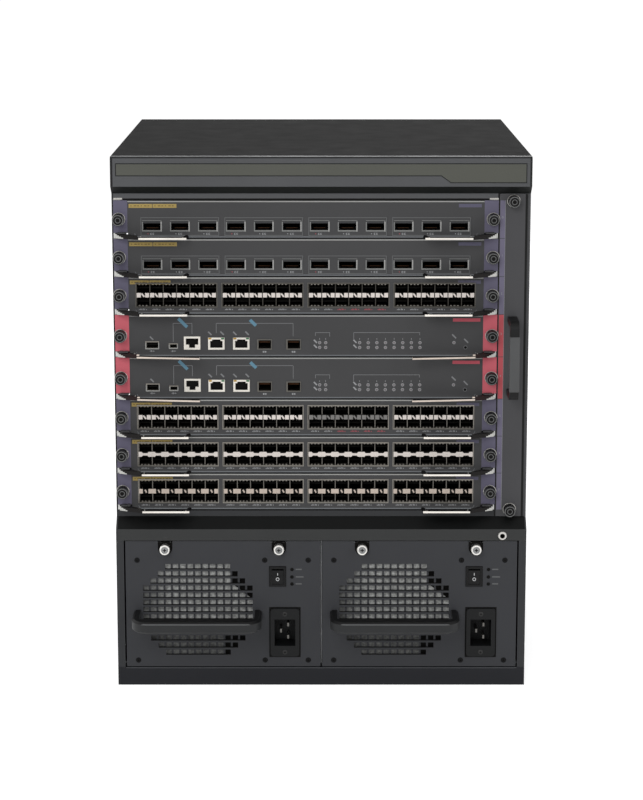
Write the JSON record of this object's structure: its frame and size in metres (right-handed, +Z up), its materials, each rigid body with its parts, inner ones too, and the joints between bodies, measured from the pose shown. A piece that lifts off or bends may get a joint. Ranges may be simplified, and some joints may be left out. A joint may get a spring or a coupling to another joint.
{
  "type": "modular chassis switch",
  "caption": "Rack chassis with plug-in port cards, a vertical fan tray and two handled power supplies, each of which slides out of the front.",
  "frame": {"origin": "middle of the flat underside", "axes": "+Z up, front with the cards and supplies towards -Y, +X to the right seen from the front"},
  "size_m": [0.44, 0.465, 0.575],
  "materials": {
    "enclosure_paint": "fine texture",
    "cover_paint": "fine texture",
    "rear_paint": "fine texture",
    "zinc_sheet": "satin",
    "backplane_board": "satin",
    "fascia_paint": "satin",
    "band_paint": "satin",
    "bright_metal": "polished",
    "faceplate_paint": "satin",
    "card_board": "satin",
    "lever_metal": "brushed",
    "handle_black": "satin",
    "fan_frame": "matte",
    "fan_plastic": "matte",
    "supply_paint": "satin",
    "black_plastic": "matte"
  },
  "bodies": {
    "chassis": {"chassis_shell": "enclosure_paint", "top_cover": "cover_paint", "rear_panel": "rear_paint", "card_cage": "zinc_sheet", "psu_bay": "zinc_sheet", "backplane": "backplane_board", "top_fascia": "fascia_paint", "mid_fascia": "band_paint", "esd_jack": "bright_metal"},
    "fan_tray": {"fan_tray_panel": "faceplate_paint", "fan_tray_handle": "handle_black", "fan_frames": "fan_frame"},
    "card_1": {"card_1_faceplate": "faceplate_paint", "card_1_board": "card_board"},
    "card_1_lever_left": {"card_1_lever_left": "lever_metal"},
    "card_1_lever_right": {"card_1_lever_right": "lever_metal"},
    "card_2": {"card_2_faceplate": "faceplate_paint", "card_2_board": "card_board"},
    "card_2_lever_left": {"card_2_lever_left": "lever_metal"},
    "card_2_lever_right": {"card_2_lever_right": "lever_metal"},
    "card_3": {"card_3_faceplate": "faceplate_paint", "card_3_board": "card_board"},
    "card_3_lever_left": {"card_3_lever_left": "lever_metal"},
    "card_3_lever_right": {"card_3_lever_right": "lever_metal"},
    "card_4": {"card_4_faceplate": "faceplate_paint", "card_4_board": "card_board"},
    "card_4_lever_left": {"card_4_lever_left": "lever_metal"},
    "card_4_lever_right": {"card_4_lever_right": "lever_metal"},
    "card_5": {"card_5_faceplate": "faceplate_paint", "card_5_board": "card_board"},
    "card_5_lever_left": {"card_5_lever_left": "lever_metal"},
    "card_5_lever_right": {"card_5_lever_right": "lever_metal"},
    "card_6": {"card_6_faceplate": "faceplate_paint", "card_6_board": "card_board"},
    "card_6_lever_left": {"card_6_lever_left": "lever_metal"},
    "card_6_lever_right": {"card_6_lever_right": "lever_metal"},
    "card_7": {"card_7_faceplate": "faceplate_paint", "card_7_board": "card_board"},
    "card_7_lever_left": {"card_7_lever_left": "lever_metal"},
    "card_7_lever_right": {"card_7_lever_right": "lever_metal"},
    "card_8": {"card_8_faceplate": "faceplate_paint", "card_8_board": "card_board"},
    "card_8_lever_left": {"card_8_lever_left": "lever_metal"},
    "card_8_lever_right": {"card_8_lever_right": "lever_metal"},
    "fan_rotor_1": {"fan_rotor_1": "fan_plastic"},
    "fan_rotor_2": {"fan_rotor_2": "fan_plastic"},
    "fan_rotor_3": {"fan_rotor_3": "fan_plastic"},
    "fan_rotor_4": {"fan_rotor_4": "fan_plastic"},
    "psu_1": {"psu_1_case": "zinc_sheet", "psu_1_front": "supply_paint", "psu_1_handle": "handle_black", "psu_1_inlet": "black_plastic"},
    "psu_1_rocker": {"psu_1_rocker": "black_plastic"},
    "psu_1_fan_rotor": {"psu_1_fan_rotor": "fan_plastic"},
    "psu_2": {"psu_2_case": "zinc_sheet", "psu_2_front": "supply_paint", "psu_2_handle": "handle_black", "psu_2_inlet": "black_plastic"},
    "psu_2_rocker": {"psu_2_rocker": "black_plastic"},
    "psu_2_fan_rotor": {"psu_2_fan_rotor": "fan_plastic"}
  },
  "joints": [
    {"name": "card_1_slide", "type": "slide", "parent": "chassis", "child": "card_1", "axis": [0, -1, 0], "range_m": [0, 0.34]},
    {"name": "card_1_lever_left_hinge", "type": "hinge", "parent": "card_1", "child": "card_1_lever_left", "pos_m": [-0.209, -0.2044, 0.49084], "axis": [0, 0, -1], "range_deg": [0, 55]},
    {"name": "card_1_lever_right_hinge", "type": "hinge", "parent": "card_1", "child": "card_1_lever_right", "pos_m": [0.177, -0.2044, 0.49084], "axis": [0, 0, 1], "range_deg": [0, 55]},
    {"name": "card_2_slide", "type": "slide", "parent": "chassis", "child": "card_2", "axis": [0, -1, 0], "range_m": [0, 0.34]},
    {"name": "card_2_lever_left_hinge", "type": "hinge", "parent": "card_2", "child": "card_2_lever_left", "pos_m": [-0.209, -0.2044, 0.4502], "axis": [0, 0, -1], "range_deg": [0, 55]},
    {"name": "card_2_lever_right_hinge", "type": "hinge", "parent": "card_2", "child": "card_2_lever_right", "pos_m": [0.177, -0.2044, 0.4502], "axis": [0, 0, 1], "range_deg": [0, 55]},
    {"name": "card_3_slide", "type": "slide", "parent": "chassis", "child": "card_3", "axis": [0, -1, 0], "range_m": [0, 0.34]},
    {"name": "card_3_lever_left_hinge", "type": "hinge", "parent": "card_3", "child": "card_3_lever_left", "pos_m": [-0.209, -0.2044, 0.40956], "axis": [0, 0, -1], "range_deg": [0, 55]},
    {"name": "card_3_lever_right_hinge", "type": "hinge", "parent": "card_3", "child": "card_3_lever_right", "pos_m": [0.177, -0.2044, 0.40956], "axis": [0, 0, 1], "range_deg": [0, 55]},
    {"name": "card_4_slide", "type": "slide", "parent": "chassis", "child": "card_4", "axis": [0, -1, 0], "range_m": [0, 0.34]},
    {"name": "card_4_lever_left_hinge", "type": "hinge", "parent": "card_4", "child": "card_4_lever_left", "pos_m": [-0.209, -0.2044, 0.36384], "axis": [0, 0, -1], "range_deg": [0, 55]},
    {"name": "card_4_lever_right_hinge", "type": "hinge", "parent": "card_4", "child": "card_4_lever_right", "pos_m": [0.177, -0.2044, 0.36384], "axis": [0, 0, 1], "range_deg": [0, 55]},
    {"name": "card_5_slide", "type": "slide", "parent": "chassis", "child": "card_5", "axis": [0, -1, 0], "range_m": [0, 0.34]},
    {"name": "card_5_lever_left_hinge", "type": "hinge", "parent": "card_5", "child": "card_5_lever_left", "pos_m": [-0.209, -0.2044, 0.31812], "axis": [0, 0, -1], "range_deg": [0, 55]},
    {"name": "card_5_lever_right_hinge", "type": "hinge", "parent": "card_5", "child": "card_5_lever_right", "pos_m": [0.177, -0.2044, 0.31812], "axis": [0, 0, 1], "range_deg": [0, 55]},
    {"name": "card_6_slide", "type": "slide", "parent": "chassis", "child": "card_6", "axis": [0, -1, 0], "range_m": [0, 0.34]},
    {"name": "card_6_lever_left_hinge", "type": "hinge", "parent": "card_6", "child": "card_6_lever_left", "pos_m": [-0.209, -0.2044, 0.27748], "axis": [0, 0, -1], "range_deg": [0, 55]},
    {"name": "card_6_lever_right_hinge", "type": "hinge", "parent": "card_6", "child": "card_6_lever_right", "pos_m": [0.177, -0.2044, 0.27748], "axis": [0, 0, 1], "range_deg": [0, 55]},
    {"name": "card_7_slide", "type": "slide", "parent": "chassis", "child": "card_7", "axis": [0, -1, 0], "range_m": [0, 0.34]},
    {"name": "card_7_lever_left_hinge", "type": "hinge", "parent": "card_7", "child": "card_7_lever_left", "pos_m": [-0.209, -0.2044, 0.23684], "axis": [0, 0, -1], "range_deg": [0, 55]},
    {"name": "card_7_lever_right_hinge", "type": "hinge", "parent": "card_7", "child": "card_7_lever_right", "pos_m": [0.177, -0.2044, 0.23684], "axis": [0, 0, 1], "range_deg": [0, 55]},
    {"name": "card_8_slide", "type": "slide", "parent": "chassis", "child": "card_8", "axis": [0, -1, 0], "range_m": [0, 0.34]},
    {"name": "card_8_lever_left_hinge", "type": "hinge", "parent": "card_8", "child": "card_8_lever_left", "pos_m": [-0.209, -0.2044, 0.1962], "axis": [0, 0, -1], "range_deg": [0, 55]},
    {"name": "card_8_lever_right_hinge", "type": "hinge", "parent": "card_8", "child": "card_8_lever_right", "pos_m": [0.177, -0.2044, 0.1962], "axis": [0, 0, 1], "range_deg": [0, 55]},
    {"name": "fan_tray_slide", "type": "slide", "parent": "chassis", "child": "fan_tray", "axis": [0, -1, 0], "range_m": [0, 0.37]},
    {"name": "fan_1_spin", "type": "hinge", "parent": "fan_tray", "child": "fan_rotor_1", "pos_m": [0.2024, -0.1, 0.2768], "axis": [1, 0, 0], "continuous": true},
    {"name": "fan_2_spin", "type": "hinge", "parent": "fan_tray", "child": "fan_rotor_2", "pos_m": [0.2024, -0.1, 0.4308], "axis": [1, 0, 0], "continuous": true},
    {"name": "fan_3_spin", "type": "hinge", "parent": "fan_tray", "child": "fan_rotor_3", "pos_m": [0.2024, 0.076, 0.2768], "axis": [1, 0, 0], "continuous": true},
    {"name": "fan_4_spin", "type": "hinge", "parent": "fan_tray", "child": "fan_rotor_4", "pos_m": [0.2024, 0.076, 0.4308], "axis": [1, 0, 0], "continuous": true},
    {"name": "psu_1_slide", "type": "slide", "parent": "chassis", "child": "psu_1", "axis": [0, -1, 0], "range_m": [0, 0.38]},
    {"name": "psu_1_rocker_tilt", "type": "hinge", "parent": "psu_1", "child": "psu_1_rocker", "pos_m": [-0.0469, -0.206, 0.1217], "axis": [-1, 0, 0], "range_deg": [0, 14]},
    {"name": "psu_1_fan_spin", "type": "hinge", "parent": "psu_1", "child": "psu_1_fan_rotor", "pos_m": [-0.1329, -0.1915, 0.0846], "axis": [0, 1, 0], "continuous": true},
    {"name": "psu_2_slide", "type": "slide", "parent": "chassis", "child": "psu_2", "axis": [0, -1, 0], "range_m": [0, 0.38]},
    {"name": "psu_2_rocker_tilt", "type": "hinge", "parent": "psu_2", "child": "psu_2_rocker", "pos_m": [0.16455, -0.206, 0.1217], "axis": [-1, 0, 0], "range_deg": [0, 14]},
    {"name": "psu_2_fan_spin", "type": "hinge", "parent": "psu_2", "child": "psu_2_fan_rotor", "pos_m": [0.07855, -0.1915, 0.0846], "axis": [0, 1, 0], "continuous": true}
  ]
}
